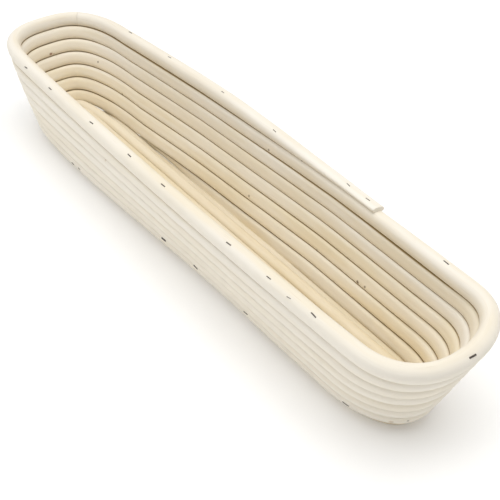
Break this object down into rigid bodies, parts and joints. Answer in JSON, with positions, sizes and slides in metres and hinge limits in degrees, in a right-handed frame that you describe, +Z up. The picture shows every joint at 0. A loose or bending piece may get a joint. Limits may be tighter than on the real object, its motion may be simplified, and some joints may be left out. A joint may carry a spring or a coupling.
{
  "type": "banneton basket",
  "caption": "Long oval proofing basket wound from round rattan cane, stapled coil on coil, with flared walls and an open top.",
  "frame": {"origin": "on the table plane, under the middle of the basket's bounding box", "axes": "+X along the basket, +Y across it, +Z up"},
  "size_m": [0.4114, 0.0838, 0.0649],
  "materials": {
    "floor_cane": "bare peeled cane, matt",
    "wall_cane": "bare peeled cane, matt",
    "rim_cane": "bare peeled cane, matt, paler",
    "staple_steel": "dull wire"
  },
  "bodies": {
    "root": {"floor_cane": "floor_cane", "foot_staple_01": "staple_steel", "foot_staple_02": "staple_steel", "foot_staple_03": "staple_steel", "foot_staple_04": "staple_steel", "foot_staple_05": "staple_steel", "foot_staple_06": "staple_steel", "foot_staple_07": "staple_steel", "foot_staple_08": "staple_steel", "foot_staple_09": "staple_steel", "foot_staple_10": "staple_steel", "rim_cane_tail": "rim_cane", "rim_staple_01": "staple_steel", "rim_staple_02": "staple_steel", "rim_staple_03": "staple_steel", "rim_staple_04": "staple_steel", "rim_staple_05": "staple_steel", "rim_staple_06": "staple_steel", "rim_staple_07": "staple_steel", "rim_staple_08": "staple_steel", "rim_staple_09": "staple_steel", "rim_staple_10": "staple_steel", "rim_staple_11": "staple_steel", "rim_staple_12": "staple_steel", "rim_staple_13": "staple_steel", "rim_staple_14": "staple_steel", "rim_staple_15": "staple_steel", "rim_staple_16": "staple_steel", "rim_staple_17": "staple_steel", "wall_cane_lower": "wall_cane", "wall_cane_middle": "wall_cane", "wall_cane_upper": "wall_cane"}
  },
  "joints": []
}
